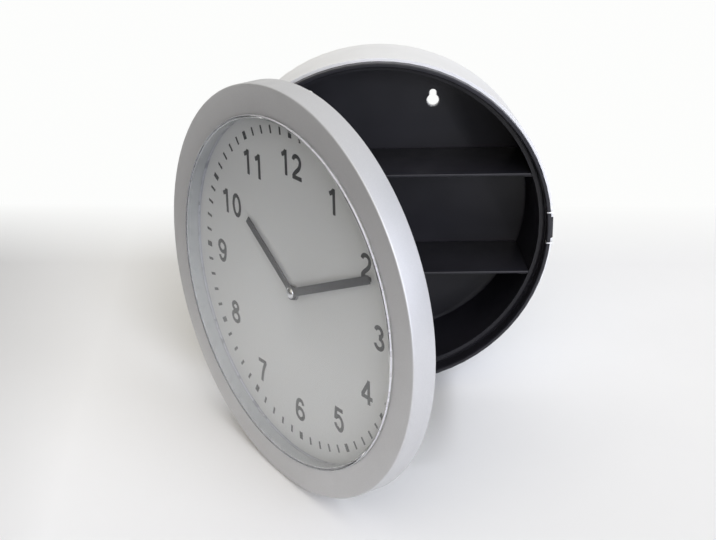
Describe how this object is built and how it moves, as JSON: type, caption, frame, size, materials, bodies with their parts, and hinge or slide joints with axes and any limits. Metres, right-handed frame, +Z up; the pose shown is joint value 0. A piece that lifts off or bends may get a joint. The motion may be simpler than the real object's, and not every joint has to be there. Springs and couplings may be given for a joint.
{
  "type": "clock diversion safe",
  "caption": "Round wall clock whose dial is a side-hinged door in front of a round wall box with shelves, a sprung latch and a battery clock movement; shown open.",
  "frame": {"origin": "centre of the box's flat back face, which lies against the wall", "axes": "+X to the right as seen from the front, +Y into the wall, +Z up; the hinge pin runs along Z on the left and the door is stored 53 degrees open"},
  "size_m": [0.2448, 0.2669, 0.25],
  "materials": {
    "silver_paint": "satin silver paint on moulded plastic",
    "black_plastic": "fine satin",
    "clear_lens": "clear, polished",
    "dial_grey": "matt silver-grey",
    "steel": "plain",
    "brass": "turned",
    "white_plastic": "moulded",
    "hand_paint": "satin dark grey paint",
    "cap_chrome": "polished",
    "black_rubber": "matt",
    "copper_wire": "enamelled copper",
    "board": "green laminate",
    "battery_jacket": "plain grey jacket",
    "magnet": "sintered magnet with a steel arbor"
  },
  "bodies": {
    "case": {"case_shell": "silver_paint", "liner_tub": "black_plastic", "upper_shelf": "black_plastic", "lower_shelf": "black_plastic", "hinge_pin": "steel"},
    "latch": {"latch_tab": "black_plastic"},
    "door": {"door_bezel": "silver_paint", "lens": "clear_lens", "dial": "dial_grey", "door_back": "black_plastic", "door_catch": "black_plastic", "door_screw_1": "steel", "door_screw_2": "steel", "door_screw_3": "steel", "door_screw_4": "steel", "door_screw_5": "steel", "door_screw_6": "steel", "movement_case": "black_plastic", "movement_cover": "black_plastic", "panel_washer": "black_rubber", "panel_nut": "steel", "stator": "steel", "coil": "copper_wire", "circuit_board": "board", "positive_contact": "steel", "negative_contact": "steel"},
    "battery": {"battery": "battery_jacket"},
    "minute": {"cannon_pinion": "brass", "minute_hand": "hand_paint", "hand_cap": "cap_chrome"},
    "hour": {"hour_wheel": "white_plastic", "hour_hand": "hand_paint"},
    "motion": {"motion_wheel": "white_plastic"},
    "knob": {"setting_knob": "white_plastic"},
    "centre": {"centre_wheel": "white_plastic"},
    "third": {"third_wheel": "white_plastic"},
    "seconds": {"seconds_wheel": "white_plastic"},
    "intermediate": {"intermediate_wheel": "white_plastic"},
    "rotor": {"rotor": "magnet"}
  },
  "joints": [
    {"name": "door_hinge", "type": "hinge", "parent": "case", "child": "door", "pos_m": [-0.1168, -0.0658, 0], "axis": [0, 0, -1], "range_deg": [-53, 50]},
    {"name": "latch_flex", "type": "hinge", "parent": "case", "child": "latch", "pos_m": [0.1092, -0.0573, 0], "axis": [0, 0, -1], "range_deg": [0, 8], "stiffness_Nm_per_rad": 0.2},
    {"name": "battery_lift", "type": "slide", "parent": "door", "child": "battery", "axis": [0.7986, 0.6018, 0], "range_m": [0, 0.02]},
    {"name": "minute_spin", "type": "hinge", "parent": "door", "child": "minute", "pos_m": [-0.04172, -0.15547, 0], "axis": [0.7986, 0.6018, 0], "continuous": true},
    {"name": "hour_spin", "type": "hinge", "parent": "door", "child": "hour", "pos_m": [-0.04172, -0.15547, 0], "axis": [0.7986, 0.6018, 0], "continuous": true},
    {"name": "motion_spin", "type": "hinge", "parent": "door", "child": "motion", "pos_m": [-0.03594, -0.16314, 0], "axis": [0.7986, 0.6018, 0], "continuous": true},
    {"name": "knob_spin", "type": "hinge", "parent": "door", "child": "knob", "pos_m": [-0.03094, -0.16978, -0.0048], "axis": [0.7986, 0.6018, 0], "continuous": true},
    {"name": "rotor_spin", "type": "hinge", "parent": "door", "child": "rotor", "pos_m": [-0.03744, -0.16114, 0.01357], "axis": [0.7986, 0.6018, 0], "continuous": true},
    {"name": "intermediate_spin", "type": "hinge", "parent": "door", "child": "intermediate", "pos_m": [-0.04102, -0.1564, 0.01357], "axis": [0.7986, 0.6018, 0], "continuous": true},
    {"name": "seconds_spin", "type": "hinge", "parent": "door", "child": "seconds", "pos_m": [-0.04529, -0.15072, 0.01098], "axis": [0.7986, 0.6018, 0], "continuous": true},
    {"name": "third_spin", "type": "hinge", "parent": "door", "child": "third", "pos_m": [-0.04782, -0.14736, 0.00369], "axis": [0.7986, 0.6018, 0], "continuous": true},
    {"name": "centre_spin", "type": "hinge", "parent": "door", "child": "centre", "pos_m": [-0.04172, -0.15547, 0], "axis": [0.7986, 0.6018, 0], "continuous": true}
  ],
  "couplings": [
    {"joint": "motion_spin", "follows": "minute_spin", "ratio": -0.33333},
    {"joint": "hour_spin", "follows": "minute_spin", "ratio": 0.083333},
    {"joint": "knob_spin", "follows": "minute_spin", "ratio": 1},
    {"joint": "intermediate_spin", "follows": "rotor_spin", "ratio": -0.2},
    {"joint": "seconds_spin", "follows": "rotor_spin", "ratio": 0.033333},
    {"joint": "third_spin", "follows": "rotor_spin", "ratio": -0.0044444},
    {"joint": "centre_spin", "follows": "rotor_spin", "ratio": 0.00055556}
  ]
}
